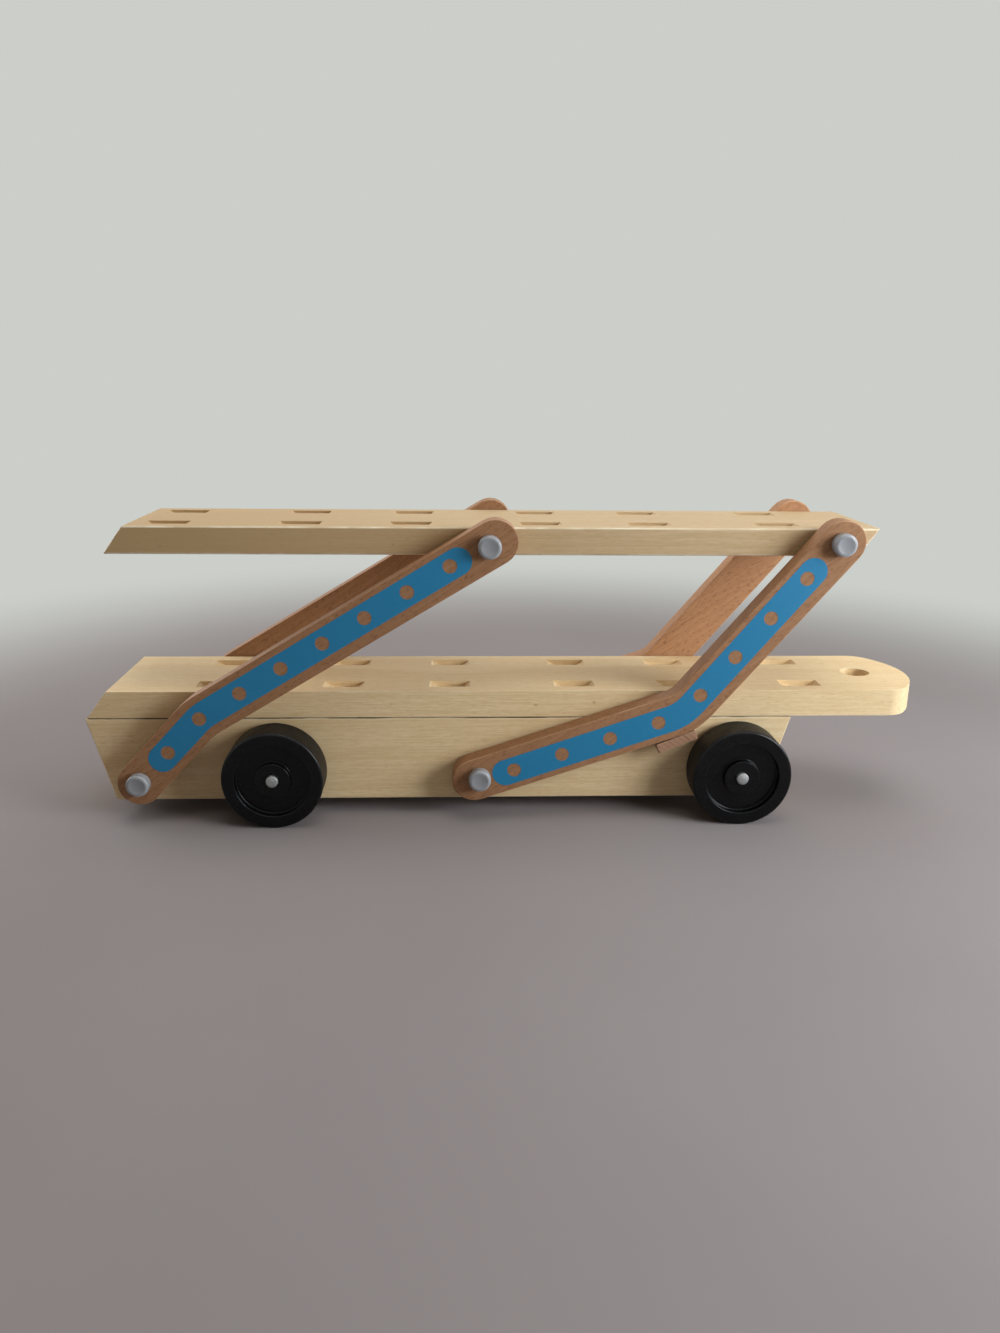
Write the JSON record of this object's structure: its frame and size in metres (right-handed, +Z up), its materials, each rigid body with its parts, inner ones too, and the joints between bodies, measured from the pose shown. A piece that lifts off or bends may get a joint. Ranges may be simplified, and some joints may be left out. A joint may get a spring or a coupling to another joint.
{
  "type": "toy car transporter trailer",
  "caption": "Wooden toy car transporter trailer with an upper deck that swings down behind on cranked arms, wheel pockets in both decks and a hitch tongue.",
  "frame": {"origin": "on the floor, under the middle of the trailer's length and width", "axes": "+X along the trailer to the hitch tongue, +Y to its left, +Z up"},
  "size_m": [0.3128, 0.0778, 0.1123],
  "materials": {
    "pale_wood": "planed pale hardwood, sanded, thin clear satin lacquer",
    "red_wood": "steamed beech, sanded, thin clear satin lacquer",
    "blue_print": "blue ink stripe printed on the arms' outer faces, satin",
    "grey_plastic": "moulded light grey plastic",
    "black_plastic": "moulded black plastic, semi-gloss",
    "steel": "bright zinc-plated steel rod with domed ends"
  },
  "bodies": {
    "chassis": {"chassis_block": "pale_wood", "lower_deck": "pale_wood", "arm_stop_right": "red_wood", "arm_stop_left": "red_wood", "rear_lower_pin_right": "grey_plastic", "rear_lower_pin_left": "grey_plastic", "front_lower_pin_right": "grey_plastic", "front_lower_pin_left": "grey_plastic"},
    "rear_arms": {"rear_arm_right": "red_wood", "rear_arm_left": "red_wood"},
    "front_arms": {"front_arm_right": "red_wood", "front_arm_left": "red_wood"},
    "upper_deck": {"upper_deck": "pale_wood", "rear_upper_pin_right": "grey_plastic", "rear_upper_pin_left": "grey_plastic", "front_upper_pin_right": "grey_plastic", "front_upper_pin_left": "grey_plastic"},
    "rear_wheelset": {"rear_axle": "steel", "rear_wheel_right": "black_plastic", "rear_wheel_left": "black_plastic"},
    "front_wheelset": {"front_axle": "steel", "front_wheel_right": "black_plastic", "front_wheel_left": "black_plastic"}
  },
  "joints": [
    {"name": "rear_arms_swing", "type": "hinge", "parent": "chassis", "child": "rear_arms", "pos_m": [-0.1365, 0, 0.0158], "axis": [0, -1, 0], "range_deg": [0, 134.5]},
    {"name": "upper_deck_swing", "type": "hinge", "parent": "rear_arms", "child": "upper_deck", "pos_m": [-0.0098, 0, 0.1028], "axis": [0, -1, 0], "range_deg": [-134.5, 0]},
    {"name": "front_arms_swing", "type": "hinge", "parent": "chassis", "child": "front_arms", "pos_m": [-0.0129, 0, 0.017], "axis": [0, -1, 0], "range_deg": [0, 134.5]},
    {"name": "rear_wheels_roll", "type": "hinge", "parent": "chassis", "child": "rear_wheelset", "pos_m": [-0.0878, 0, 0.01821], "axis": [0, 1, 0], "continuous": true},
    {"name": "front_wheels_roll", "type": "hinge", "parent": "chassis", "child": "front_wheelset", "pos_m": [0.0835, 0, 0.01821], "axis": [0, 1, 0], "continuous": true}
  ],
  "couplings": [
    {"joint": "upper_deck_swing", "follows": "rear_arms_swing", "ratio": -1},
    {"joint": "front_arms_swing", "follows": "rear_arms_swing", "ratio": 1}
  ]
}
